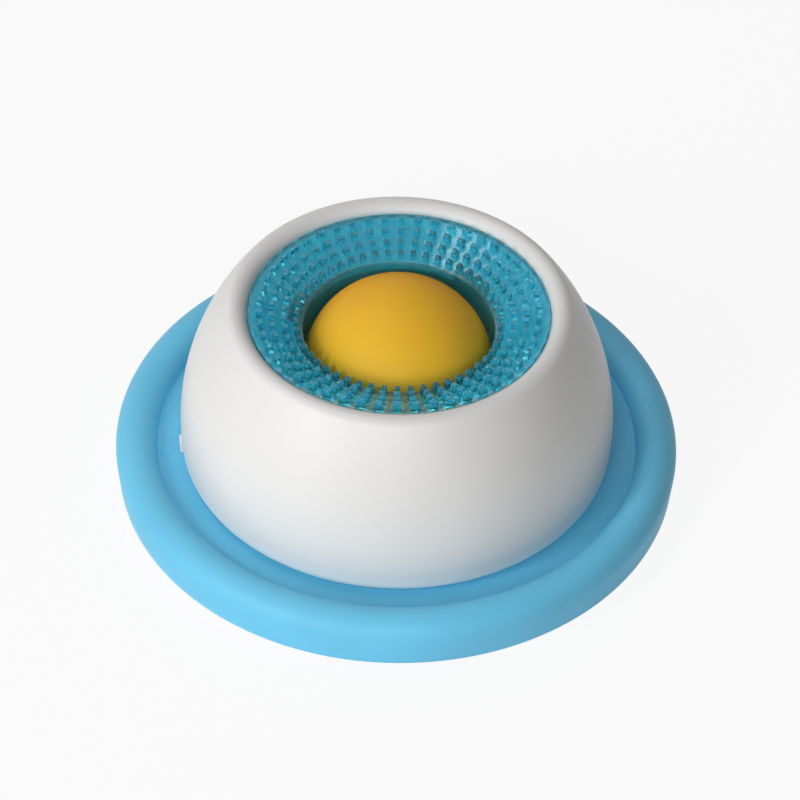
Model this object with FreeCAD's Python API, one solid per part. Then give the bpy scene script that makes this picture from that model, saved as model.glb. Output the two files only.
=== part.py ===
"""Lick treat dispenser: soft drip tray, domed housing, nubbed lick ring and a ball that rolls in paste.

Millimetres, +Z up, origin on the ground under the centre of the ball. Every section is drawn in the
XZ plane as (radius, height) pairs and turned about Z.
"""
import FreeCAD
import Part
import math
import os

# Clearances
SLIP = 0.1            # between pieces that are fitted by hand and then stay put
TURN = 0.15           # between hard faces that turn past each other
SOFT = 0.2            # between a soft piece and a hard one that turns over it
PASTE_FILM = 0.35     # round the ball, where the ring holds it in
BALL_PLAY = 0.06      # between the ball and the ribs that it rolls on
STOP_GAP = 0.6        # degrees between a lug and its stop
ROOT = 0.4            # how deep ribs, lugs and stops are sunk in the wall that carries them

# Ball, two shells joined at the equator by a tongue
BALL_R = 25.0
BALL_WALL = 2.0
TONGUE_DEPTH = 1.5

# Housing
DOME_R = 57.5
WIDEST_H = 7.548      # height over the foot's end at which the dome is widest
DOME_WALL = 2.4
FOOT_TUCK = 1.6       # how much smaller the foot is than the dome
FOOT_WALL = 1.8
TUCK_H = 2.944        # height over the foot's end at which the dome starts to tuck in
LIP_R = 3.1
LIP_DROP = 1.0        # middle of the lip under the funnel's top edge
SEAT_T = 2.2
SKIRT_WALL = 2.2
SKIRT_ROOT = 2.7      # height of the skirt's free outer face

# Twist lock of the housing on the base plate
LOCK_COUNT = 4
LOCK_SPAN = 34.0
LOCK_WALL = 2.0
LOCK_REACH = 2.5
LOCK_ROOM = 1.1       # between the lugs and the dome's inner wall
LEDGE_T = 1.4
LUG_T = 1.6

# Base plate, seen from below inside the tray
BASE_UNDER = 3.0
BASE_WALL = 1.8
BASE_HUB_R = 9.0
BASE_RIB_H = 1.4
BASE_RIB_COUNT = 8
LIP_GRIP = 3.5        # how far the plate's lower flange reaches under the tray's floor
UPPER_GRIP = 6.5      # how far its upper flange reaches over it
FLANGE_T = 2.0
PAD_R = 6.0
PAD_H = 2.0
PAD_SINK = 0.8
PAD_EDGE = 0.6
PAD_CIRCLE_R = 34.0
PAD_COUNT = 4
BOSS_WALL = 1.3

# Soft tray
TRAY_H = 13.4
TRAY_WALL = 2.4
RIM_W = 10.8
GUTTER_W = 6.7        # flat floor between the dome and the rim
FLOOR_TOP = 7.7
FOOT_DRAFT = 0.6
FOOT_ROUND = 0.8

# Food cup
CUP_WALL = 1.8
CUP_RIM_INSET = 5.75  # from midway between the ring's edge and the dome's widest radius
CUP_RIM_Z = 43.2
CUP_FLOOR_R = 11.0
CUP_BOWL_Z = 28.0     # height at which the bowl's curve meets the wall
CUP_DRAFT = 1.0
CUP_FOOT_R = 33.0
CUP_FOOT_WALL = 2.0
PASTE_DEPTH = 1.7     # under the ball
BALL_RIB_COUNT = 4
BALL_RIB_R = (7.5, 17.0)
BALL_RIB_SLOPE = 3.0
CUP_KEY_COUNT = 3
CUP_KEY_W = 3.6
SOCKET_WALL = 1.6
SOCKET_H = 2.8

# Seal on the cup's rim
SEAL_T = 1.4
SEAL_LEG = 3.2
SEAL_WALL = 1.1
SEAL_STOP_T = 1.6

# Lick ring
NECK_WALL = 2.05
EDGE_INSET = 0.1      # the funnel's inner edge is this much smaller than the ball
EDGE_RISE = 14.3      # its height over the ball's centre
EDGE_ROUND = 0.8
THROAT_GRIP = 0.65    # how much smaller than the ball the throat is
NECK_END_GRIP = 0.05
FUNNEL_R = 39.2
FUNNEL_ANGLE = 21.5
FUNNEL_T = 2.2
FUNNEL_EDGE = 0.4
NUB_ROWS = 4
NUBS_PER_ROW = 50
NUB_INSET = 1.7       # from the funnel's inner edge to the first row
NUB_OUTSET = 3.0      # from the last row to the funnel's outer edge
NUB_H = 2.4
NUB_DEPTH = 1.7       # along the radius
NUB_SPAN = 3.5        # degrees round the ring
NUB_TAPER = 0.72
NUB_ROOT = 0.7        # how far a nub's foot is sunk in the funnel

# Twist lock of the ring in the housing
RING_LUG_COUNT = 3
RING_LUG_SPAN = 24.0
RING_LUG_REACH = 2.6
RING_LUG_T = 1.8
RING_OPEN = 45.0
STOP_SPAN = 3.0

# Pointer on the housing and its mark on the tray, which meet when the housing is locked
MARK_ANGLE = 186.5
POINTER_REACH = 0.5
POINTER_W = 2.8
POINTER_H = 4.0
MARK_L = 3.0
MARK_W = 1.6
MARK_H = 0.35
MARK_GAP = 2.4        # between the dome and the mark

# Heights that follow from the stack
BASE_TOP = BASE_UNDER + BASE_WALL
CUP_UNDER = BASE_TOP + SLIP
CUP_FLOOR = CUP_UNDER + CUP_WALL
BALL_Z = CUP_FLOOR + PASTE_DEPTH + BALL_R
EDGE_R = BALL_R - EDGE_INSET
EDGE_Z = BALL_Z + EDGE_RISE
CONE = math.tan(math.radians(FUNNEL_ANGLE))
FOOT_Z = FLOOR_TOP + SOFT
SEAL_TOP = CUP_RIM_Z + SLIP + SEAL_T
SKIRT_Z = SEAL_TOP + SOFT
FLOOR_UNDER = FLOOR_TOP - TRAY_WALL
LEDGE_Z = FOOT_Z + LEDGE_T
LUG_Z = LEDGE_Z + SLIP

# Radii that follow from the dome
FOOT_R = DOME_R - FOOT_TUCK
LOCK_R = FOOT_R - FOOT_WALL - LOCK_ROOM - LOCK_REACH
TRAY_HOLE_R = LOCK_R - UPPER_GRIP
TRAY_R = DOME_R + GUTTER_W + RIM_W
CUP_RIM_R = (FUNNEL_R + DOME_R) / 2 - CUP_RIM_INSET
POINTER_R = DOME_R + POINTER_REACH
MARK_R = DOME_R + MARK_GAP

# Radii that follow from the fits
NECK_R = EDGE_R + NECK_WALL
RING_LUG_R = NECK_R + RING_LUG_REACH
SEAT_HOLE_R = NECK_R + 2 * TURN
NOTCH_R = RING_LUG_R + 2 * TURN
RECESS_R = FUNNEL_R + TURN
CUP_RIM_OUT = CUP_RIM_R + CUP_WALL
NUB_ROW_R = EDGE_R + NUB_INSET
NUB_ROW_PITCH = (FUNNEL_R - NUB_OUTSET - NUB_ROW_R) / (NUB_ROWS - 1)
BASE_SOCKET_R = CUP_FOOT_R + 2 * SLIP


def section_point(pair):
    """The point of a (radius, height) pair in the XZ plane."""
    return FreeCAD.Vector(pair[0], 0, pair[1])


def lines(*pairs):
    """Straight edges through the pairs, in order."""
    return [Part.LineSegment(section_point(a), section_point(b)).toShape()
            for a, b in zip(pairs, pairs[1:])]


def arc(start, middle, end):
    """One circular edge through three pairs."""
    return Part.Arc(section_point(start), section_point(middle), section_point(end)).toShape()


def curve(pairs):
    """One smooth edge through the pairs."""
    spline = Part.BSplineCurve()
    spline.interpolate([section_point(pair) for pair in pairs])
    return spline.toShape()


def on_circle(centre, radius, degrees):
    """The pair at an angle, counted from straight outwards, on a circle of the section."""
    angle = math.radians(degrees)
    return (centre[0] + radius * math.cos(angle), centre[1] + radius * math.sin(angle))


def round_off(start, degrees, end):
    """A circular edge that leaves its start square to the stated angle and bends in to its end."""
    normal = on_circle((0, 0), 1, degrees)
    step = (start[0] - end[0], start[1] - end[1])
    radius = (step[0] ** 2 + step[1] ** 2) / (2 * (step[0] * normal[0] + step[1] * normal[1]))
    centre = (start[0] - radius * normal[0], start[1] - radius * normal[1])
    end_degrees = math.degrees(math.atan2(end[1] - centre[1], end[0] - centre[0]))
    return arc(start, on_circle(centre, radius, (degrees + end_degrees) / 2), end)


def turned(edges, start=0.0, span=360.0):
    """The solid that a closed section sweeps about Z, from the start angle over the span."""
    face = Part.Face(Part.Wire(edges))
    face.rotate(FreeCAD.Vector(), FreeCAD.Vector(0, 0, 1), start)
    return face.revolve(FreeCAD.Vector(), FreeCAD.Vector(0, 0, 1), span)


def sector(radii, heights, start, span):
    """A block between two radii and two heights, over an angle."""
    (inner, outer), (low, high) = radii, heights
    corners = ((inner, low), (outer, low), (outer, high), (inner, high), (inner, low))
    return turned(lines(*corners), start, span)


def bar(length, width, height, start, degrees):
    """An upright-sided bar along a radius: its start is the (radius, height) of its inner low end."""
    block = Part.makeBox(length, width, height, FreeCAD.Vector(start[0], -width / 2, start[1]))
    block.rotate(FreeCAD.Vector(), FreeCAD.Vector(0, 0, 1), degrees)
    return block


def spaced(count, offset=0.0):
    """Equal angles round the axis."""
    return [offset + index * 360.0 / count for index in range(count)]


def upright_cylinder(radius, low, high, distance=0.0, degrees=0.0):
    """A cylinder along Z, at a distance and an angle from the axis."""
    x, y = on_circle((0, 0), distance, degrees)
    return Part.makeCylinder(radius, high - low, FreeCAD.Vector(x, y, low))


def cone_height(radius):
    """Height of the funnel's upper face at a radius."""
    return EDGE_Z + (radius - EDGE_R) * CONE


def seat_height(radius):
    """Height of the housing's cone, on which the funnel rests."""
    return cone_height(radius) - FUNNEL_T - SLIP


def drip_tray():
    """Soft tray: flat floor with a hole for the base plate, and a rolled rim, open from below."""
    middle = (TRAY_R - RIM_W / 2, TRAY_H - RIM_W / 2)
    outer, inner = RIM_W / 2, RIM_W / 2 - TRAY_WALL
    crease_r = TRAY_R - RIM_W
    foot_out = TRAY_R - FOOT_DRAFT
    foot_in = foot_out - TRAY_WALL
    edges = lines((TRAY_HOLE_R, FLOOR_UNDER), (TRAY_HOLE_R, FLOOR_TOP), (crease_r, FLOOR_TOP),
                  on_circle(middle, outer, 180))
    edges.append(arc(on_circle(middle, outer, 180), on_circle(middle, outer, 90),
                     on_circle(middle, outer, 0)))
    edges += lines(on_circle(middle, outer, 0), (foot_out, FOOT_ROUND), (foot_out - FOOT_ROUND, 0),
                   (foot_in, 0), on_circle(middle, inner, 0))
    edges.append(arc(on_circle(middle, inner, 0), on_circle(middle, inner, 90),
                     on_circle(middle, inner, 180)))
    edges += lines(on_circle(middle, inner, 180), (crease_r + TRAY_WALL, 0), (crease_r, 0),
                   (crease_r, FLOOR_UNDER), (TRAY_HOLE_R, FLOOR_UNDER))
    mark = bar(MARK_L, MARK_W, MARK_H + ROOT, (MARK_R, FLOOR_TOP - ROOT), MARK_ANGLE)
    return turned(edges).fuse(mark)


def base_plate():
    """Hard plate in the tray's hole: a spool that grips the floor, a cup socket and the lock's lugs."""
    groove_r = TRAY_HOLE_R - SLIP
    wall_in = groove_r - LOCK_WALL
    lower_r = TRAY_HOLE_R + LIP_GRIP
    flange_z = FLOOR_TOP + SLIP
    lug_top = LUG_Z + LUG_T
    spool = turned(lines(
        (0, BASE_UNDER), (lower_r, BASE_UNDER), (lower_r, FLOOR_UNDER - SLIP),
        (groove_r, FLOOR_UNDER - SLIP), (groove_r, flange_z), (LOCK_R, flange_z), (LOCK_R, lug_top),
        (LOCK_R - LOCK_WALL, lug_top), (LOCK_R - LOCK_WALL, flange_z + FLANGE_T),
        (wall_in, flange_z + FLANGE_T), (wall_in, BASE_TOP), (0, BASE_TOP), (0, BASE_UNDER)))
    lug_r = (LOCK_R - LOCK_WALL / 2, LOCK_R + LOCK_REACH)
    added = [sector((BASE_SOCKET_R, BASE_SOCKET_R + SOCKET_WALL), (BASE_TOP - ROOT, BASE_TOP + SOCKET_H),
                    0, 360)]
    for angle in spaced(LOCK_COUNT):
        low_end = angle - LOCK_SPAN / 2
        added.append(sector(lug_r, (LUG_Z, lug_top), low_end, LOCK_SPAN))
        added.append(sector(lug_r, (flange_z + SLIP, lug_top), low_end - STOP_SPAN, STOP_SPAN))
    rib_low = BASE_UNDER - BASE_RIB_H
    rib_length = lower_r - BASE_WALL - BASE_HUB_R
    for angle in spaced(BASE_RIB_COUNT):
        added.append(bar(rib_length, BASE_RIB_H, BASE_RIB_H + ROOT, (BASE_HUB_R - ROOT, rib_low), angle))
    added.append(sector((BASE_HUB_R - BASE_WALL, BASE_HUB_R), (rib_low, BASE_UNDER + ROOT), 0, 360))
    pockets = []
    for angle in spaced(PAD_COUNT, 45):
        boss_low = PAD_H - PAD_SINK
        boss_r = PAD_R + SLIP + BOSS_WALL
        added.append(upright_cylinder(boss_r, boss_low, BASE_UNDER + ROOT, PAD_CIRCLE_R, angle))
        pockets.append(upright_cylinder(PAD_R + SLIP, 0, PAD_H, PAD_CIRCLE_R, angle))
    slot_w = CUP_KEY_W + 4 * SLIP
    for angle in spaced(CUP_KEY_COUNT):
        pockets.append(bar(SOCKET_WALL + 2 * SLIP, slot_w, SOCKET_H + SLIP,
                           (BASE_SOCKET_R - SLIP, BASE_TOP), angle))
    return spool.fuse(added).cut(pockets)


def grip_pad(angle):
    """Soft foot in a pocket of the base plate, with a rounded edge and a dimple that grips."""
    dimple = PAD_R / 3
    pad = turned(lines((0, PAD_EDGE), (dimple, PAD_EDGE), (dimple + PAD_EDGE, 0), (PAD_R - PAD_EDGE, 0),
                       (PAD_R, PAD_EDGE), (PAD_R, PAD_H), (0, PAD_H), (0, PAD_EDGE)))
    x, y = on_circle((0, 0), PAD_CIRCLE_R, angle)
    pad.translate(FreeCAD.Vector(x, y, 0))
    return pad


def bowl_size(offset):
    """Width and height of the quarter ellipse of the cup's bowl, grown outwards by the offset."""
    return (CUP_RIM_R - CUP_DRAFT - CUP_FLOOR_R + offset, CUP_BOWL_Z - CUP_FLOOR + offset)


def bowl_curve(offset):
    """Points of the bowl's quarter ellipse, from the cup's floor to its wall."""
    width, height = bowl_size(offset)
    steps = [math.radians(angle) for angle in (0, 15, 30, 45, 60, 75, 90)]
    return [(CUP_FLOOR_R + width * math.sin(step), CUP_BOWL_Z - height * math.cos(step))
            for step in steps]


def bowl_height(radius, offset):
    """Height of the bowl's quarter ellipse at a radius."""
    width, height = bowl_size(offset)
    return CUP_BOWL_Z - height * math.sqrt(1 - ((radius - CUP_FLOOR_R) / width) ** 2)


def food_cup():
    """Bowl for the paste, with ribs that carry the ball, a keyed foot and a rim for the seal."""
    inner, outer = bowl_curve(0), bowl_curve(CUP_WALL)
    stop_top = CUP_RIM_Z - SEAL_LEG - SLIP
    stop_low = stop_top - SEAL_STOP_T
    stop_r = CUP_RIM_OUT + SEAL_WALL + 2 * SLIP
    share = (stop_low - CUP_BOWL_Z) / (CUP_RIM_Z - CUP_BOWL_Z)
    wall_r = outer[-1][0] + CUP_DRAFT * share
    edges = lines((0, CUP_UNDER), outer[0])
    edges.append(curve(outer))
    edges += lines(outer[-1], (wall_r, stop_low), (stop_r, stop_low), (stop_r, stop_top),
                   (CUP_RIM_OUT, stop_top), (CUP_RIM_OUT, CUP_RIM_Z), (CUP_RIM_R, CUP_RIM_Z), inner[-1])
    edges.append(curve(inner[::-1]))
    edges += lines(inner[0], (0, CUP_FLOOR), (0, CUP_UNDER))
    bowl = turned(edges)
    foot_top = bowl_height(CUP_FOOT_R, CUP_WALL) + ROOT
    foot = sector((CUP_FOOT_R - CUP_FOOT_WALL, CUP_FOOT_R), (CUP_UNDER, foot_top), 0, 360)
    well = turned([*lines(inner[-1], (0, CUP_BOWL_Z), (0, CUP_FLOOR), inner[0]), curve(inner)])
    keys = [bar(ROOT + SOCKET_WALL, CUP_KEY_W, SOCKET_H - SLIP, (CUP_FOOT_R - ROOT, CUP_UNDER), angle)
            for angle in spaced(CUP_KEY_COUNT)]
    ribs = [ball_rib(angle) for angle in spaced(BALL_RIB_COUNT, 45)]
    return bowl.fuse([foot.cut(well), *keys, *ribs])


def ball_rib(angle):
    """Upright rib on the bowl's floor whose top is hollowed to the ball."""
    inner_r, outer_r = BALL_RIB_R
    seat_r = BALL_R + BALL_PLAY
    tip_z = BALL_Z - math.sqrt(seat_r ** 2 - outer_r ** 2)
    low = CUP_FLOOR - ROOT
    sunk_r = outer_r + BALL_RIB_SLOPE
    outline = lines((inner_r, low), (outer_r, low), (sunk_r, CUP_FLOOR + ROOT), (outer_r, tip_z),
                    (inner_r, tip_z), (inner_r, low))
    rib = Part.Face(Part.Wire(outline)).extrude(FreeCAD.Vector(0, CUP_WALL, 0))
    rib.translate(FreeCAD.Vector(0, -CUP_WALL / 2, 0))
    rib = rib.cut(Part.makeSphere(seat_r, FreeCAD.Vector(0, 0, BALL_Z)))
    rib.rotate(FreeCAD.Vector(), FreeCAD.Vector(0, 0, 1), angle)
    return rib


def cup_seal():
    """Soft channel pushed over the cup's rim, with a rounded crown under the housing's skirt."""
    leg_in, leg_out = CUP_RIM_R - 3 * SLIP, CUP_RIM_OUT + SLIP
    low = CUP_RIM_Z - SEAL_LEG
    web = CUP_RIM_Z + SLIP
    bead = SEAL_T / 2
    in_r, out_r = leg_in - SEAL_WALL, leg_out + SEAL_WALL
    edges = lines((leg_in, low), (leg_in, web), (leg_out, web), (leg_out, low), (out_r, low),
                  (out_r, SEAL_TOP - bead))
    edges.append(arc((out_r, SEAL_TOP - bead), on_circle((out_r - bead, SEAL_TOP - bead), bead, 45),
                     (out_r - bead, SEAL_TOP)))
    edges += lines((out_r - bead, SEAL_TOP), (in_r + bead, SEAL_TOP))
    edges.append(arc((in_r + bead, SEAL_TOP), on_circle((in_r + bead, SEAL_TOP - bead), bead, 135),
                     (in_r, SEAL_TOP - bead)))
    edges += lines((in_r, SEAL_TOP - bead), (in_r, low), (leg_in, low))
    return turned(edges)


def lip_centre():
    """Centre of the lip's round section."""
    return (RECESS_R + LIP_R, cone_height(FUNNEL_R) - LIP_DROP)


def dome_arc():
    """Radius of the dome's arc, which is upright at the widest height and runs smoothly into the lip."""
    lip_r, lip_z = lip_centre()
    inwards, upwards = DOME_R - lip_r, lip_z - FOOT_Z - WIDEST_H
    return (inwards ** 2 + upwards ** 2 - LIP_R ** 2) / (2 * (inwards - LIP_R))


def foot_turn():
    """Degrees under the dome's widest height at which its arc ends and tucks in to the foot."""
    return math.degrees(math.asin((WIDEST_H - TUCK_H) / dome_arc()))


def housing_shell():
    """Dome with a round lip, a cone that carries the ring, a skirt for the seal and two twist locks."""
    lip, radius = lip_centre(), dome_arc()
    dome = (DOME_R - radius, FOOT_Z + WIDEST_H)
    top_turn = math.degrees(math.atan2(lip[1] - dome[1], lip[0] - dome[0]))
    low_turn = -foot_turn()
    foot = on_circle(dome, radius, low_turn)
    tangent = on_circle(dome, radius, top_turn)
    skirt_out = CUP_RIM_R + SKIRT_WALL
    inner_r = radius - DOME_WALL
    inner_top = top_turn - math.degrees(2 * LIP_R / radius)
    inner_low = on_circle(dome, inner_r, low_turn)
    edges = [round_off(foot, low_turn, (FOOT_R, FOOT_Z)),
             arc(foot, on_circle(dome, radius, top_turn / 2), tangent),
             arc(tangent, on_circle(lip, LIP_R, top_turn / 2 + 90), on_circle(lip, LIP_R, 180))]
    edges += lines(on_circle(lip, LIP_R, 180), (RECESS_R, seat_height(RECESS_R)),
                   (SEAT_HOLE_R, seat_height(SEAT_HOLE_R)), (SEAT_HOLE_R, seat_height(SEAT_HOLE_R) - SEAT_T),
                   (CUP_RIM_R, seat_height(CUP_RIM_R) - SEAT_T), (CUP_RIM_R, SKIRT_Z),
                   (skirt_out, SKIRT_Z), (skirt_out, SKIRT_Z + SKIRT_ROOT),
                   on_circle(dome, inner_r, inner_top))
    edges.append(arc(on_circle(dome, inner_r, inner_top), on_circle(dome, inner_r, inner_top / 2),
                     inner_low))
    edges += lines(inner_low, (FOOT_R - FOOT_WALL, FOOT_Z), (FOOT_R, FOOT_Z))
    shell = turned(edges)
    return shell.fuse(base_ledges() + ring_stops() + [pointer()]).cut(ring_notches())


def base_ledges():
    """Ledges on the dome's inner wall that turn in under the base plate's lugs."""
    radii = (LOCK_R + 2 * TURN, FOOT_R - FOOT_WALL / 2)
    span = LOCK_SPAN - STOP_GAP
    return [sector(radii, (FOOT_Z, LEDGE_Z), angle - span + LOCK_SPAN / 2, span)
            for angle in spaced(LOCK_COUNT)]


def ring_notches():
    """Gaps in the cone's edge that let the ring's lugs drop through when it is turned open."""
    span = RING_LUG_SPAN + 2 * STOP_GAP
    heights = (seat_height(SEAT_HOLE_R) - 2 * SEAT_T, seat_height(NOTCH_R) + SEAT_T)
    return [sector((SEAT_HOLE_R - SEAT_T, NOTCH_R), heights, angle - span / 2, span)
            for angle in spaced(RING_LUG_COUNT, RING_OPEN)]


def ring_stops():
    """Blocks under the cone on which a lug ends its turn, closed and open."""
    heights = (ring_lug_top() - RING_LUG_T, seat_height(NOTCH_R) - SEAT_T + ROOT)
    radii = (SEAT_HOLE_R + TURN, NOTCH_R)
    reach = RING_LUG_SPAN / 2 + STOP_GAP
    closed = [sector(radii, heights, angle - reach - STOP_SPAN, STOP_SPAN)
              for angle in spaced(RING_LUG_COUNT)]
    opened = [sector(radii, heights, angle + reach, STOP_SPAN)
              for angle in spaced(RING_LUG_COUNT, RING_OPEN)]
    return closed + opened


def pointer():
    """Small upright rib at the dome's foot that shows where the housing locks."""
    depth = POINTER_R - DOME_R + DOME_WALL
    return bar(depth, POINTER_W, POINTER_H, (POINTER_R - depth, FOOT_Z), MARK_ANGLE)


def ring_lug_top():
    """Height of the ring's lugs, just under the cone's edge."""
    return seat_height(SEAT_HOLE_R) - SEAT_T - TURN


def nub_row_tools():
    """Four-sided tapered nubs, one along the radius per row, sunk into the funnel's face."""
    nubs = []
    for row in range(NUB_ROWS):
        radius = NUB_ROW_R + row * NUB_ROW_PITCH
        width = radius * math.radians(NUB_SPAN)
        foot, tip = cone_height(radius) - NUB_ROOT, cone_height(radius) + NUB_H
        nubs.append(Part.makeLoft([nub_outline(radius, width, NUB_DEPTH, foot),
                                   nub_outline(radius, width * NUB_TAPER, NUB_DEPTH * NUB_TAPER, tip)],
                                  True, True))
    return nubs


def nub_outline(radius, width, depth, height):
    """Level rectangle round a nub's axis, which stands on +X."""
    corners = ((-1, -1), (1, -1), (1, 1), (-1, 1), (-1, -1))
    return Part.makePolygon([FreeCAD.Vector(radius + a * depth / 2, b * width / 2, height)
                             for a, b in corners])


def lick_ring():
    """Funnel with rows of nubs, a neck whose throat keeps the ball in, and three lugs under it."""
    film_r = BALL_R + PASTE_FILM
    ball = (0, BALL_Z)
    throat_angle = math.degrees(math.acos((BALL_R - THROAT_GRIP) / film_r))
    end_angle = math.degrees(math.acos((BALL_R - NECK_END_GRIP) / film_r))
    throat, end = on_circle(ball, film_r, throat_angle), on_circle(ball, film_r, end_angle)
    edge_out = on_circle((EDGE_R, EDGE_Z), EDGE_ROUND, FUNNEL_ANGLE)
    edge_in = (EDGE_R, EDGE_Z - EDGE_ROUND)
    top = cone_height(FUNNEL_R)
    edges = [round_off(edge_in, 180, edge_out), *lines(edge_in, throat),
             arc(throat, on_circle(ball, film_r, (throat_angle + end_angle) / 2), end)]
    edges += lines(end, (NECK_R - EDGE_ROUND, end[1]), (NECK_R, end[1] + EDGE_ROUND),
                   (NECK_R, cone_height(NECK_R) - FUNNEL_T), (FUNNEL_R, top - FUNNEL_T),
                   (FUNNEL_R, top - FUNNEL_EDGE), (FUNNEL_R - FUNNEL_EDGE, cone_height(FUNNEL_R - FUNNEL_EDGE)),
                   edge_out)
    lugs = [sector((NECK_R - NECK_WALL / 2, RING_LUG_R), (ring_lug_top() - RING_LUG_T, ring_lug_top()),
                   angle - RING_LUG_SPAN / 2, RING_LUG_SPAN) for angle in spaced(RING_LUG_COUNT)]
    nubs = []
    for nub in nub_row_tools():
        for angle in spaced(NUBS_PER_ROW, 180 / NUBS_PER_ROW):
            copy = nub.copy()
            copy.rotate(FreeCAD.Vector(), FreeCAD.Vector(0, 0, 1), angle)
            nubs.append(copy)
    return turned(edges).fuse(lugs).fuse(nubs)


def ball_half(side):
    """Half of the hollow ball: side 1 is the upper one with the tongue, side -1 the lower one."""
    inner_r = BALL_R - BALL_WALL
    centre = (0, BALL_Z)
    middle_r = BALL_R - BALL_WALL / 2
    outer = [on_circle(centre, BALL_R, side * angle) for angle in (0, 45, 90)]
    if side > 0:
        step = [(inner_r, BALL_Z), (inner_r, BALL_Z - TONGUE_DEPTH), (middle_r, BALL_Z - TONGUE_DEPTH),
                (middle_r, BALL_Z), outer[0]]
    else:
        depth = TONGUE_DEPTH + SLIP
        step = [(math.sqrt(inner_r ** 2 - depth ** 2), BALL_Z - depth), (middle_r + SLIP, BALL_Z - depth),
                (middle_r + SLIP, BALL_Z), outer[0]]
    pole = on_circle(centre, inner_r, side * 90)
    edges = [arc(*outer), *lines(outer[2], pole),
             arc(pole, on_circle(centre, inner_r, side * 45), step[0]), *lines(*step)]
    return turned(edges)


def pieces():
    """Every piece of the dispenser, by its name."""
    named = {
        "drip_tray": drip_tray(),
        "base_plate": base_plate(),
        "food_cup": food_cup(),
        "cup_seal": cup_seal(),
        "housing_shell": housing_shell(),
        "lick_ring": lick_ring(),
        "ball_upper_half": ball_half(1),
        "ball_lower_half": ball_half(-1),
    }
    for number, angle in enumerate(spaced(PAD_COUNT, 45), 1):
        named[f"grip_pad_{number}"] = grip_pad(angle)
    return named


def write_pieces():
    """Check that each piece is one sound solid and write it out."""
    os.makedirs("parts", exist_ok=True)
    for name, shape in pieces().items():
        if len(shape.Solids) != 1 or not shape.isValid():
            raise ValueError(f"{name} is not one sound solid")
        shape.Solids[0].exportStep(f"parts/{name}.step")


write_pieces()
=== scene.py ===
"""Looks of the lick treat dispenser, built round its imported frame.

Metres and degrees, in the frame's own axes, with +Z up. A section is an array of (radius, height)
pairs that is turned about Z.
"""
import math

import bmesh
import bpy
import numpy as np
from mathutils import Matrix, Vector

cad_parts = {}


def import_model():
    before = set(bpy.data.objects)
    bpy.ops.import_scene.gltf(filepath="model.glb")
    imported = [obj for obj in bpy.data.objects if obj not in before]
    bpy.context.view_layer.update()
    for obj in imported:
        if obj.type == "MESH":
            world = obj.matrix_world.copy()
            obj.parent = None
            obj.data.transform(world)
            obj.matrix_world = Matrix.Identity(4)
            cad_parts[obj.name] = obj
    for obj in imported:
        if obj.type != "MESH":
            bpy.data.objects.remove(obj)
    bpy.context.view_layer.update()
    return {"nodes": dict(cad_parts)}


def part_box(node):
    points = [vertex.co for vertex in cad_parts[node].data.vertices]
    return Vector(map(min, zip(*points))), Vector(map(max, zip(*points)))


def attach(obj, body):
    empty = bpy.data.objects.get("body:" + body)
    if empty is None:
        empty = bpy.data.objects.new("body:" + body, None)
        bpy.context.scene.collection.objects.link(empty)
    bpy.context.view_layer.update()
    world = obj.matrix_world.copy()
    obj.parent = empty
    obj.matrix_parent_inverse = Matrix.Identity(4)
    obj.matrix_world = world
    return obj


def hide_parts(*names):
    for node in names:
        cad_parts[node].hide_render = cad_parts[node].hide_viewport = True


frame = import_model()

MM = 0.001

# Taken from the frame
TRAY_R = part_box("drip_tray")[1][0]
TRAY_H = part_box("drip_tray")[1][2]
FOOT_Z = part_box("housing_shell")[0][2]
LIP_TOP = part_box("housing_shell")[1][2]
BALL_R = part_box("ball_upper_half")[1][0]
BALL_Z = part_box("ball_upper_half")[1][2] - BALL_R
FUNNEL_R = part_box("lick_ring")[1][0]
NECK_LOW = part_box("lick_ring")[0][2]

# Clearances, and by how much the throat is narrower than the ball
RING_GAP = 0.15 * MM
BALL_EDGE_GAP = 0.1 * MM
BALL_FILM = 0.35 * MM
BALL_CATCH = 0.65 * MM
NECK_END_GAP = 0.05 * MM
TONGUE_GAP = 0.1 * MM

# Tray
TRAY_WALL = 2.4 * MM
TRAY_HOLE_R = 44.0 * MM
RIM_W = 10.8 * MM
TRAY_FLOOR = 7.7 * MM
FOOT_DRAFT = 0.6 * MM
TRAY_ROUND = 0.28 * MM

# Housing
DOME_R = 57.5 * MM
DOME_ARC = 66.0 * MM
DOME_WALL = 2.4 * MM
FOOT_R = 55.9 * MM
FOOT_WALL = 1.8 * MM
FOOT_TURN = 4.0
HOUSING_ROUND = 0.3 * MM
LIP_R = 3.1 * MM
RECESS_R = FUNNEL_R + RING_GAP
SEAT_HOLE_R = 27.25 * MM
NOTCH_R = 29.85 * MM
NOTCH_SPAN = 25.2
SEAT_T = 2.2 * MM
SEAT_DROP = 2.3 * MM
SKIRT_R = (42.6 * MM, 44.8 * MM)
SKIRT_Z = (44.9 * MM, 47.6 * MM)
POINTER_R = 58.0 * MM
POINTER_W = 2.8 * MM
POINTER_H = 4.0 * MM
MARK_R = 61.4 * MM
MARK_L = 3.0 * MM
MARK_W = 1.6 * MM
MARK_H = 0.35 * MM
MARK_ANGLE = 186.5

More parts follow.
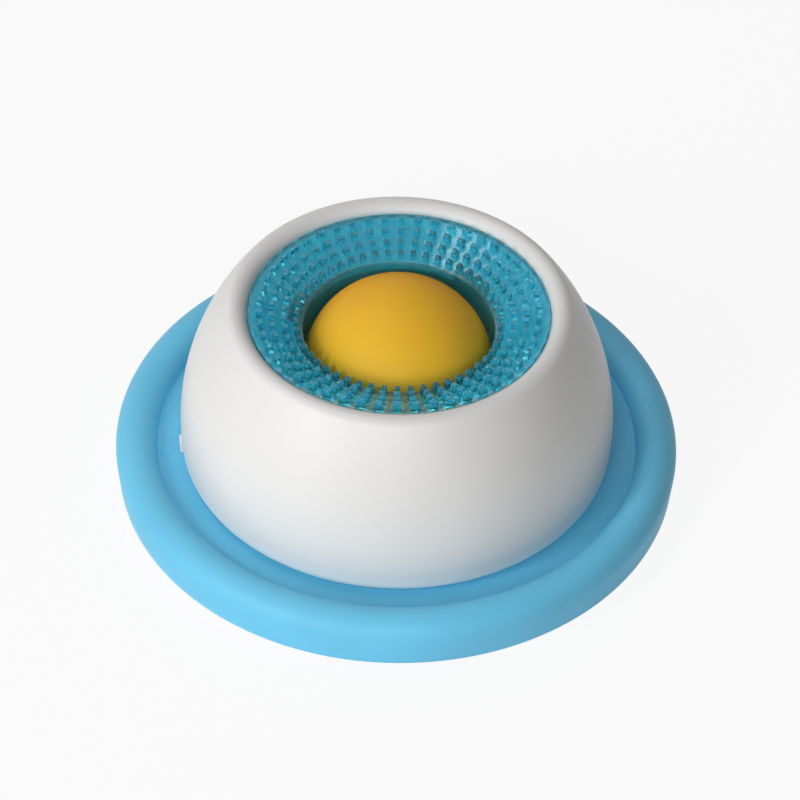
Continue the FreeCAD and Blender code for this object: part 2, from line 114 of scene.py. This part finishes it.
# Lick ring
EDGE_R = BALL_R - BALL_EDGE_GAP
EDGE_RISE = 14.3 * MM
EDGE_Z = BALL_Z + EDGE_RISE
EDGE_ROUND = 0.8 * MM
FUNNEL_ANGLE = 21.5
FUNNEL_T = 2.2 * MM
FUNNEL_EDGE = 0.4 * MM
NECK_WALL = 2.05 * MM
FILM_R = BALL_R + BALL_FILM
THROAT_R = BALL_R - BALL_CATCH
NUB_ROWS = 4
NUBS_PER_ROW = 50
NUB_FIRST = 90
NUB_ROW_R = 26.6 * MM
NUB_ROW_PITCH = 3.2 * MM
NUB_H = 2.4 * MM
NUB_DEPTH = 1.7 * MM
NUB_SPAN = 3.5
NUB_TAPER = 0.72
NUB_STATIONS = (0.0, 0.4, 0.62, 0.72, 0.8, 0.9, 1.0)
LUG_R = 29.55 * MM
LUG_T = 1.8 * MM
LUG_SPAN = 24.0
LUG_COUNT = 3
LUG_OPEN = 45.0

# Ball
BALL_WALL = 2.0 * MM
SEAM = 0.1 * MM
TONGUE = 1.5 * MM

# Points round the axis and along arcs
SEGMENTS = 240
CORNER_POINTS = 5
EDGE_POINTS = 9
RIM_POINTS = 40
RIM_HOLLOW_POINTS = 20
TUCK_POINTS = 10
DOME_POINTS = 48
LIP_POINTS = 28
DOME_HOLLOW_POINTS = 32
FILM_POINTS = 12
LUG_POINTS = 20
BALL_POINTS = 60
BALL_HOLLOW_POINTS = 30

# Degrees from which an edge stays sharp, and the distance within which vertices are joined
SHARP = 40
NUB_SHARP = 75
MERGE_DISTANCE = 1e-7

# Relief and gloss of the mouldings, whose gloss varies more finely than their colour
GRAIN_DEPTH = 0.02 * MM
GLOSS_SPREAD = 0.15
GLOSS_FINENESS = 4
NOISE_DETAIL = 3.0
RAMP_ENDS = (0.25, 0.75)

# The photograph's camera, found from the outlines of the ball, lip, housing and tray
LENS = 135.0
SENSOR = 36.0
CAMERA_DISTANCE = 795.8 * MM
CAMERA_ELEVATION = 43.21
CAMERA_ROLL = 1.34
CAMERA_TARGET = (0.74 * MM, 0.0, 21.56 * MM)
CAMERA_NEAR = 10 * MM

# Lamps: name, degrees round from the front (left is negative), degrees of height, watts, side
LAMPS = (("front_left", -45, 22, 4.3, 0.5), ("left_high", -58, 41, 1.5, 0.12),
         ("back_right", 110, 45, 0.5, 0.5), ("front", -4, 33, 3.3, 0.5),
         ("back_left", -135, 22, 1.0, 0.5), ("back", 180, 22, 0.6, 0.5),
         ("high", -119, 68, 1.7, 0.32))
LAMP_DISTANCE = 1.1

# Surroundings
SKY = 0.03
SKY_COLOR = (1.0, 0.99, 0.97, 1)
WHITE = (1, 1, 1, 1)
FLOOR_HALF = 4
FLOOR_COLOR = (0.85, 0.85, 0.85)
FLOOR_ROUGHNESS = 0.8
FLOOR_GLOW = 0.9


# Sections

def circle(centre, radius, start, end, count):
    """A section's circular stretch: points round a centre at even angles from start to end."""
    turn = np.radians(np.linspace(start, end, count))
    return np.stack([centre[0] + radius * np.cos(turn), centre[1] + radius * np.sin(turn)], axis=1)


def corner(point, radius, before, after, count=CORNER_POINTS):
    """A rounded corner: a stretch of the circle that touches both legs, from leg to leg."""
    p, a, b = (np.asarray(v, float) for v in (point, before, after))
    u, v = (a - p) / np.linalg.norm(a - p), (b - p) / np.linalg.norm(b - p)
    half = math.acos(np.clip(u @ v, -1, 1)) / 2
    middle = p + (u + v) / np.linalg.norm(u + v) * radius / math.sin(half)
    leg = radius / math.tan(half)
    start, end = (math.degrees(math.atan2(*(p + side * leg - middle)[::-1])) for side in (u, v))
    return circle(middle, radius, start, start + (end - start + 180) % 360 - 180, count)


def softened(points, radius):
    """A closed outline with every sharp corner rounded by the radius."""
    following = points[1:] + points[:1]
    return np.vstack([corner(point, radius, points[i - 1], following[i])
                      for i, point in enumerate(points)])


def block(near, far, low, high, radius):
    """A softened rectangle between two distances from the axis and two heights."""
    return softened([(near, low), (far, low), (far, high), (near, high)], radius)


def bend(start, degrees, end, count):
    """A circular stretch that leaves its start square to the stated angle and bends to its end."""
    normal = np.array([math.cos(math.radians(degrees)), math.sin(math.radians(degrees))])
    step = start - end
    radius = step @ step / (2 * step @ normal)
    centre = start - radius * normal
    last = math.degrees(math.atan2(*(end - centre)[::-1]))
    return circle(centre, radius, degrees, degrees + (last - degrees + 180) % 360 - 180, count)


def signed_area(section):
    """Area inside a closed section, positive where it runs anticlockwise."""
    r, z = section[:, 0], section[:, 1]
    return 0.5 * np.sum(r * np.roll(z, -1) - np.roll(r, -1) * z)


def anticlockwise(section):
    """The closed section in the order whose area is positive."""
    return section if signed_area(section) > 0 else section[::-1]


# Meshes

def grid_faces(rows, columns):
    """Faces of a grid whose rows and columns both close on themselves."""
    row, column = np.arange(rows)[:, None], np.arange(columns)[None, :]
    next_row, next_column = (row + 1) % rows, (column + 1) % columns
    corners = (row * columns + column, next_row * columns + column,
               next_row * columns + next_column, row * columns + next_column)
    return np.stack(np.broadcast_arrays(*corners), axis=-1).reshape(-1, 4)


def turned(section, angles, shift=0.0, lift=0.0):
    """Vertices and faces of a closed section turned to each angle, shifted outwards and lifted.

    The shift and the lift are one number each, or one for every angle and point.
    """
    turn = np.radians(angles)[:, None]
    r, z = section[None, :, 0] + shift, section[None, :, 1] + lift
    vertices = np.stack(np.broadcast_arrays(r * np.cos(turn), r * np.sin(turn), z), axis=-1)
    faces = grid_faces(len(angles), len(section))
    return vertices.reshape(-1, 3), faces if signed_area(section) > 0 else faces[:, ::-1]


def swept_faces(count, size):
    """Faces between so many copies of an outline, and cross strips that fill the two ends."""
    side = np.arange(size // 2 - 1)
    end = np.stack([side, side + 1, size - 2 - side, size - 1 - side], axis=1)
    last = (count - 1) * size
    return np.vstack([grid_faces(count, size)[:last], end, end[:, ::-1] + last])


def sector(section, start, span):
    """Vertices and faces of a closed section turned over part of a circle."""
    vertices, _ = turned(anticlockwise(section), np.linspace(start, start + span, LUG_POINTS))
    return vertices, swept_faces(LUG_POINTS, len(section))


def bar(outline, width, degrees):
    """Vertices and faces of an upright closed outline along a radius, given a width across it."""
    outline = anticlockwise(outline)
    turn = math.radians(degrees)
    along, height = np.tile(outline, (2, 1)).T
    across = np.repeat([-width / 2, width / 2], len(outline))
    vertices = np.stack([along * math.cos(turn) - across * math.sin(turn),
                         along * math.sin(turn) + across * math.cos(turn), height], axis=1)
    return vertices, swept_faces(2, len(outline))


def together(parts):
    """One pair of arrays from several."""
    starts = np.cumsum([0] + [len(vertices) for vertices, _ in parts])
    return (np.vstack([vertices for vertices, _ in parts]),
            np.vstack([faces + start for (_, faces), start in zip(parts, starts)]))


def close_poles(mesh):
    """Joins the vertices that meet on the axis and drops what that leaves without area."""
    work = bmesh.new()
    work.from_mesh(mesh)
    bmesh.ops.remove_doubles(work, verts=work.verts, dist=MERGE_DISTANCE)
    loose = [edge for edge in work.edges if not edge.link_faces]
    bmesh.ops.delete(work, geom=loose, context="EDGES")
    work.to_mesh(mesh)
    work.free()


def added(name, data):
    """A new object with the data, in the scene."""
    thing = bpy.data.objects.new(name, data)
    bpy.context.scene.collection.objects.link(thing)
    return thing


def make(name, arrays, material, body, nodes, sharp=SHARP):
    """Adds a finished piece from its arrays, which rides on its body in place of its nodes.

    It is smooth but for its sharp edges.
    """
    vertices, faces = arrays
    mesh = bpy.data.meshes.new(name)
    mesh.vertices.add(len(vertices))
    mesh.vertices.foreach_set("co", np.ascontiguousarray(vertices, np.float32).ravel())
    mesh.loops.add(faces.size)
    mesh.loops.foreach_set("vertex_index", np.ascontiguousarray(faces, np.int32).ravel())
    mesh.polygons.add(len(faces))
    mesh.polygons.foreach_set("loop_start", np.arange(0, faces.size, 4, dtype=np.int32))
    mesh.update(calc_edges=True)
    close_poles(mesh)
    mesh.shade_smooth()
    mesh.set_sharp_from_angle(angle=math.radians(sharp))
    mesh.materials.append(material)
    piece = added(name, mesh)
    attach(piece, body)
    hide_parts(*nodes)


# Materials

def shader(name, color, roughness, **sockets):
    """A new material and its node tree, with constants set on the surface shader."""
    material = bpy.data.materials.new(name)
    material.use_nodes = True
    surface = material.node_tree.nodes["Principled BSDF"]
    surface.inputs["Base Color"].default_value = (*color, 1)
    surface.inputs["Roughness"].default_value = roughness
    for socket, value in sockets.items():
        surface.inputs[socket.replace("_", " ")].default_value = value
    return material, material.node_tree, surface


def noise(tree, scale):
    """A noise texture on the piece's own coordinates, at so many waves per metre."""
    place = tree.nodes.new("ShaderNodeTexCoord")
    texture = tree.nodes.new("ShaderNodeTexNoise")
    texture.inputs["Scale"].default_value = scale
    texture.inputs["Detail"].default_value = NOISE_DETAIL
    tree.links.new(place.outputs["Object"], texture.inputs["Vector"])
    return texture.outputs["Fac"]


def ramp(tree, value, low, high):
    """A colour that runs from low to high as the value goes from a quarter to three quarters."""
    colours = tree.nodes.new("ShaderNodeValToRGB")
    for element, position, color in zip(colours.color_ramp.elements, RAMP_ENDS, (low, high)):
        element.position = position
        element.color = (*color, 1)
    tree.links.new(value, colours.inputs["Fac"])
    return colours.outputs["Color"]


def spread(tree, value, low, high):
    """A number that runs from low to high as the value goes from 0 to 1."""
    scale = tree.nodes.new("ShaderNodeMapRange")
    scale.inputs["To Min"].default_value = low
    scale.inputs["To Max"].default_value = high
    tree.links.new(value, scale.inputs["Value"])
    return scale.outputs["Result"]


def grain(tree, surface, scale, strength, depth):
    """Surface relief of the stated depth from one more noise."""
    bump = tree.nodes.new("ShaderNodeBump")
    bump.inputs["Strength"].default_value = strength
    bump.inputs["Distance"].default_value = depth
    tree.links.new(noise(tree, scale), bump.inputs["Height"])
    tree.links.new(bump.outputs["Normal"], surface.inputs["Normal"])


def moulded(name, color, roughness, tint, cloud, fine, relief, **sockets):
    """Moulded plastic or rubber: faint clouds in its colour, uneven gloss and a fine grain."""
    material, tree, surface = shader(name, color, roughness, **sockets)
    low = tuple(channel * (1 - tint) for channel in color)
    high = tuple(min(channel * (1 + tint), 1) for channel in color)
    tree.links.new(ramp(tree, noise(tree, cloud), low, high), surface.inputs["Base Color"])
    gloss = spread(tree, noise(tree, cloud * GLOSS_FINENESS),
                   roughness * (1 - GLOSS_SPREAD), roughness * (1 + GLOSS_SPREAD))
    tree.links.new(gloss, surface.inputs["Roughness"])
    grain(tree, surface, fine, relief, GRAIN_DEPTH)
    return material


def clear_plastic(name, low, high, roughness, clear, cloud):
    """Tinted plastic, partly see-through and partly milky, with an uneven tint and face."""
    material, tree, surface = shader(name, low, roughness, Transmission_Weight=clear, IOR=1.4)
    tree.links.new(ramp(tree, noise(tree, cloud), low, high), surface.inputs["Base Color"])
    grain(tree, surface, scale=700, strength=0.3, depth=0.05 * MM)
    return material


TRAY = moulded("tray_rubber", (0.16, 0.62, 0.90), 0.5,
               tint=0.05, cloud=45, fine=2200, relief=0.35, Specular_IOR_Level=0.4)
HOUSING = moulded("housing_plastic", (0.84, 0.83, 0.82), 0.42,
                  tint=0.015, cloud=30, fine=2600, relief=0.2)
RING = clear_plastic("ring_clear", low=(0.085, 0.54, 0.79), high=(0.18, 0.84, 0.88),
                     roughness=0.06, clear=0.86, cloud=520)
BALL = moulded("ball_plastic", (1.0, 0.57, 0.035), 0.5,
               tint=0.05, cloud=50, fine=3200, relief=0.15, Specular_IOR_Level=0.2,
               Sheen_Weight=1.0, Sheen_Roughness=0.6, Sheen_Tint=(1.0, 0.38, 0.02, 1.0))
CUP = moulded("cup_plastic", (0.80, 0.80, 0.79), 0.3,
              tint=0.01, cloud=40, fine=2600, relief=0.1)
BASE = moulded("base_plastic", (0.78, 0.78, 0.77), 0.5,
               tint=0.02, cloud=40, fine=2200, relief=0.3)
SEAL = moulded("seal_rubber", (0.62, 0.66, 0.68), 0.55,
               tint=0.03, cloud=80, fine=2600, relief=0.3)
PAD = moulded("pad_rubber", (0.22, 0.23, 0.24), 0.6,
              tint=0.05, cloud=120, fine=3000, relief=0.4)


# Pieces

CONE = math.tan(math.radians(FUNNEL_ANGLE))


def cone_height(radius):
    """Height of the funnel's upper face at a radius."""
    return EDGE_Z + (radius - EDGE_R) * CONE


def seat_height(radius):
    """Height of the housing's cone under the funnel."""
    return cone_height(radius) - SEAT_DROP


def all_round(count=SEGMENTS):
    """Even angles round the axis, in degrees."""
    return np.arange(count) * 360.0 / count


def drip_tray():
    """The tray's section turned, and the mark on its floor.

    The section is a flat floor, a crease, a half-round rim and a drafted side, hollow from below.
    """
    middle = (TRAY_R - RIM_W / 2, TRAY_H - RIM_W / 2)
    crease_r, hollow_r = TRAY_R - RIM_W, TRAY_R - RIM_W + TRAY_WALL
    under = TRAY_FLOOR - TRAY_WALL
    foot_out = TRAY_R - FOOT_DRAFT
    foot_in = foot_out - TRAY_WALL
    inner = RIM_W / 2 - TRAY_WALL
    rim_side, rim_in = (middle[0] + RIM_W / 2, middle[1]), (middle[0] + inner, middle[1])
    hole_low, hole_high = (TRAY_HOLE_R, under), (TRAY_HOLE_R, TRAY_FLOOR)
    section = np.vstack([
        corner(hole_low, TRAY_ROUND, (crease_r, under), hole_high),
        corner(hole_high, TRAY_ROUND, hole_low, (crease_r, TRAY_FLOOR)),
        corner((crease_r, TRAY_FLOOR), TRAY_ROUND, hole_high, (crease_r, middle[1])),
        circle(middle, RIM_W / 2, 180, 0, RIM_POINTS),
        corner((foot_out, 0), 3 * TRAY_ROUND, rim_side, (foot_in, 0)),
        corner((foot_in, 0), TRAY_ROUND, (foot_out, 0), rim_in),
        circle(middle, inner, 0, 180, RIM_HOLLOW_POINTS),
        corner((hollow_r, 0), TRAY_ROUND, (hollow_r, middle[1]), (crease_r, 0)),
        corner((crease_r, 0), TRAY_ROUND, (hollow_r, 0), (crease_r, under)),
        corner((crease_r, under), TRAY_ROUND, (crease_r, 0), hole_low),
    ])
    mark = block(MARK_R - MARK_L / 2, MARK_R + MARK_L / 2,
                 TRAY_FLOOR - MARK_H, TRAY_FLOOR + MARK_H, MARK_H / 2)
    return together([turned(section, all_round()), bar(mark, MARK_W, MARK_ANGLE)])


def housing():
    """The housing's section turned, and its pointer.

    The seat's hole widens to the notch radius where the ring's lugs drop through.
    """
    lip = (RECESS_R + LIP_R, LIP_TOP - LIP_R)
    centre_r = DOME_R - DOME_ARC
    reach = math.sqrt((DOME_ARC - LIP_R) ** 2 - (lip[0] - centre_r) ** 2)
    dome = (centre_r, lip[1] - reach)
    top_turn = math.degrees(math.atan2(reach, lip[0] - centre_r))
    inner_r = DOME_ARC - DOME_WALL
    inner_top = top_turn - math.degrees(2 * LIP_R / DOME_ARC)
    foot = circle(dome, DOME_ARC, -FOOT_TURN, -FOOT_TURN, 1)[0]
    tuck = bend(foot, -FOOT_TURN, np.array([FOOT_R, FOOT_Z + HOUSING_ROUND]), TUCK_POINTS)
    seat_out = (RECESS_R, seat_height(RECESS_R))
    hole_high = (SEAT_HOLE_R, seat_height(SEAT_HOLE_R))
    hole_low = (SEAT_HOLE_R, seat_height(SEAT_HOLE_R) - SEAT_T)
    skirt_top = (SKIRT_R[0], seat_height(SKIRT_R[0]) - SEAT_T)
    before = np.vstack([
        tuck[::-1],
        circle(dome, DOME_ARC, -FOOT_TURN, top_turn, DOME_POINTS)[1:],
        circle(lip, LIP_R, top_turn, 180, LIP_POINTS)[1:],
        [seat_out],
    ])
    hole = np.vstack([
        corner(hole_high, HOUSING_ROUND, seat_out, hole_low),
        corner(hole_low, HOUSING_ROUND, hole_high, skirt_top),
    ])
    after = np.vstack([
        [skirt_top, (SKIRT_R[0], SKIRT_Z[0]), (SKIRT_R[1], SKIRT_Z[0]), (SKIRT_R[1], SKIRT_Z[1])],
        circle(dome, inner_r, inner_top, -FOOT_TURN, DOME_HOLLOW_POINTS),
        [(FOOT_R - FOOT_WALL, FOOT_Z), (FOOT_R - HOUSING_ROUND, FOOT_Z)],
    ])
    angles = all_round()
    lug_pitch = 360 / LUG_COUNT
    off_notch = np.abs((angles - LUG_OPEN + lug_pitch / 2) % lug_pitch - lug_pitch / 2)
    widening = np.where(off_notch < NOTCH_SPAN / 2, NOTCH_R - SEAT_HOLE_R, 0.0)
    on_hole = np.concatenate([np.zeros(len(before)), np.ones(len(hole)), np.zeros(len(after))])
    shift = widening[:, None] * on_hole[None, :]
    shell = turned(np.vstack([before, hole, after]), angles, shift, shift * CONE)
    pointer = block(DOME_R - DOME_WALL / 2, POINTER_R, FOOT_Z, FOOT_Z + POINTER_H, HOUSING_ROUND)
    return together([shell, bar(pointer, POINTER_W, MARK_ANGLE)])


def hump(distance):
    """Cross form of a nub: one less the squared share of its flank that is still to climb.

    The distance is 0 in the middle of its tip and 1 at its foot.
    """
    left = 1 - np.clip((1 - np.abs(distance)) / (1 - NUB_TAPER), 0, 1)
    return 1 - left ** 2


def lick_ring():
    """Funnel and neck turned, with the nubs on the funnel and the lugs on the neck.

    A nub's height over the cone is the product of a hump along the circle and one outwards.
    """
    stations = np.array([-s for s in NUB_STATIONS[:0:-1]] + list(NUB_STATIONS))
    pitch = 360.0 / NUBS_PER_ROW
    across = np.concatenate([stations * NUB_SPAN / 2, [pitch / 2]])
    angles = (NUB_FIRST + all_round(NUBS_PER_ROW)[:, None] + across[None, :]).ravel()
    hump_round = np.tile(hump(across * 2 / NUB_SPAN), NUBS_PER_ROW)

    rows = NUB_ROW_R + np.arange(NUB_ROWS) * NUB_ROW_PITCH
    cone_r = (rows[:, None] + stations[None, :] * NUB_DEPTH / 2).ravel()
    row_r = np.repeat(rows, len(stations))
    top = cone_height(row_r) + NUB_H - cone_height(cone_r)
    hump_out = hump((cone_r - row_r) * 2 / NUB_DEPTH) * top

    neck_r, end_r = EDGE_R + NECK_WALL, BALL_R - NECK_END_GAP
    edge, throat = (EDGE_R, EDGE_Z), (THROAT_R, BALL_Z + math.sqrt(FILM_R ** 2 - THROAT_R ** 2))
    high_out = (FUNNEL_R, cone_height(FUNNEL_R))
    low_out = (FUNNEL_R, high_out[1] - FUNNEL_T)
    root, neck_low = (neck_r, cone_height(neck_r) - FUNNEL_T), (neck_r, NECK_LOW)
    before = corner(edge, EDGE_ROUND, throat, high_out, EDGE_POINTS)
    cone = np.stack([cone_r, cone_height(cone_r)], axis=1)
    end_turn, throat_turn = (math.degrees(math.acos(r / FILM_R)) for r in (end_r, THROAT_R))
    after = np.vstack([
        corner(high_out, FUNNEL_EDGE, edge, low_out),
        corner(low_out, FUNNEL_EDGE, high_out, root),
        corner(root, FUNNEL_EDGE, low_out, neck_low),
        corner(neck_low, EDGE_ROUND, root, (end_r, NECK_LOW)),
        circle((0, BALL_Z), FILM_R, end_turn, throat_turn, FILM_POINTS),
    ])
    out = np.concatenate([np.zeros(len(before)), hump_out, np.zeros(len(after))])
    lift = hump_round[:, None] * out[None, :]
    lug_top = seat_height(SEAT_HOLE_R) - SEAT_T - RING_GAP
    lug = block(neck_r - NECK_WALL / 2, LUG_R, lug_top - LUG_T, lug_top, HOUSING_ROUND)
    lugs = [sector(lug, k * 360 / LUG_COUNT - LUG_SPAN / 2, LUG_SPAN) for k in range(LUG_COUNT)]
    return together([turned(np.vstack([before, cone, after]), angles, 0.0, lift), *lugs])


def ball_half(side):
    """Half a hollow ball: side 1 is the upper half with a tongue, side -1 the lower with a step."""
    centre, inner_r = (0, BALL_Z), BALL_R - BALL_WALL
    outer = circle(centre, BALL_R, side * math.degrees(2 * SEAM / BALL_R), side * 90, BALL_POINTS)
    if side > 0:
        step_r, depth = BALL_R - BALL_WALL / 2, TONGUE
        inner = np.vstack([circle(centre, inner_r, 90, 0, BALL_HOLLOW_POINTS),
                           [(inner_r, BALL_Z - depth)]])
    else:
        step_r, depth = BALL_R - BALL_WALL / 2 + TONGUE_GAP, TONGUE + TONGUE_GAP
        step_turn = math.degrees(math.asin(depth / inner_r))
        inner = circle(centre, inner_r, -90, -step_turn, BALL_HOLLOW_POINTS)
    rim = [(step_r, BALL_Z - depth), (step_r, BALL_Z), (BALL_R - SEAM, BALL_Z)]
    return turned(np.vstack([outer, inner, rim]), all_round())


make("tray", drip_tray(), TRAY, "base", ["drip_tray"])
make("dome", housing(), HOUSING, "housing", ["housing_shell"])
make("nubbed_ring", lick_ring(), RING, "ring", ["lick_ring"], sharp=NUB_SHARP)
make("ball_upper", ball_half(1), BALL, "ball", ["ball_upper_half"])
make("ball_lower", ball_half(-1), BALL, "ball", ["ball_lower_half"])

for node, material in (("base_plate", BASE), ("food_cup", CUP), ("cup_seal", SEAL),
                       *((f"grip_pad_{number}", PAD) for number in range(1, 5))):
    mesh = frame["nodes"][node].data
    mesh.materials.clear()
    mesh.materials.append(material)


# Floor, light and camera

def seen_white(tree, lit, white):
    """Mixes in plain white for what the camera, mirrors and clear plastic see."""
    rays = tree.nodes.new("ShaderNodeLightPath")
    most = rays.outputs["Is Camera Ray"]
    for name in ("Is Glossy Ray", "Is Transmission Ray"):
        join = tree.nodes.new("ShaderNodeMath")
        join.operation = "MAXIMUM"
        tree.links.new(most, join.inputs[0])
        tree.links.new(rays.outputs[name], join.inputs[1])
        most = join.outputs[0]
    mix = tree.nodes.new("ShaderNodeMixShader")
    tree.links.new(most, mix.inputs[0])
    tree.links.new(lit, mix.inputs[1])
    tree.links.new(white, mix.inputs[2])
    return mix.outputs[0]


def floor():
    """Wide pale floor that still takes the object's shadow."""
    mesh = bpy.data.meshes.new("floor")
    corners = [(x * FLOOR_HALF, y * FLOOR_HALF, 0) for x, y in ((-1, -1), (1, -1), (1, 1), (-1, 1))]
    mesh.from_pydata(corners, [], [(0, 1, 2, 3)])
    piece = added("floor", mesh)
    material, tree, surface = shader("floor", FLOOR_COLOR, FLOOR_ROUGHNESS)
    glow = tree.nodes.new("ShaderNodeEmission")
    glow.inputs["Color"].default_value = WHITE
    bright = tree.nodes.new("ShaderNodeMixShader")
    bright.inputs[0].default_value = FLOOR_GLOW
    tree.links.new(surface.outputs[0], bright.inputs[1])
    tree.links.new(glow.outputs[0], bright.inputs[2])
    tree.links.new(seen_white(tree, surface.outputs[0], bright.outputs[0]),
                   tree.nodes["Material Output"].inputs["Surface"])
    mesh.materials.append(material)


def world():
    """Even grey light from all round, seen as white."""
    sky = bpy.data.worlds.new("world")
    sky.use_nodes = True
    tree = sky.node_tree
    lit = tree.nodes["Background"]
    lit.inputs["Color"].default_value = SKY_COLOR
    lit.inputs["Strength"].default_value = SKY
    white = tree.nodes.new("ShaderNodeBackground")
    white.inputs["Color"].default_value = WHITE
    tree.links.new(seen_white(tree, lit.outputs[0], white.outputs[0]),
                   tree.nodes["World Output"].inputs["Surface"])
    bpy.context.scene.world = sky


def framed(x, y, z, place):
    """The matrix whose columns are three axes and a place."""
    return Matrix(np.vstack([np.column_stack([x, y, z, place]), [0, 0, 0, 1]]).tolist())


def lamp(name, azimuth, elevation, power, size):
    """A square area lamp that faces the dispenser, placed by the degrees that LAMPS gives."""
    data = bpy.data.lights.new(name, "AREA")
    data.size = size
    data.energy = power
    light = added(name, data)
    turn, tilt = math.radians(azimuth), math.radians(elevation)
    side = np.array([math.cos(turn), math.sin(turn), 0])
    back = np.array([math.cos(tilt) * math.sin(turn), -math.cos(tilt) * math.cos(turn),
                     math.sin(tilt)])
    light.matrix_world = framed(side, np.cross(back, side), back, LAMP_DISTANCE * back)


def camera():
    """The photograph's camera: in front, above, and rolled by a little."""
    data = bpy.data.cameras.new("camera")
    data.lens = LENS
    data.sensor_width = SENSOR
    data.clip_start = CAMERA_NEAR
    eye = added("camera", data)
    tilt, roll = math.radians(CAMERA_ELEVATION), math.radians(CAMERA_ROLL)
    ahead = np.array([0, math.cos(tilt), -math.sin(tilt)])
    right, up = np.array([1, 0, 0]), np.array([0, math.sin(tilt), math.cos(tilt)])
    rolled = math.cos(roll) * right + math.sin(roll) * up
    upright = -math.sin(roll) * right + math.cos(roll) * up
    place = np.array(CAMERA_TARGET) - CAMERA_DISTANCE * ahead
    eye.matrix_world = framed(rolled, upright, -ahead, place)
    bpy.context.scene.camera = eye


floor()
world()
for row in LAMPS:
    lamp(*row)
camera()
bpy.context.scene.view_settings.view_transform = "Standard"
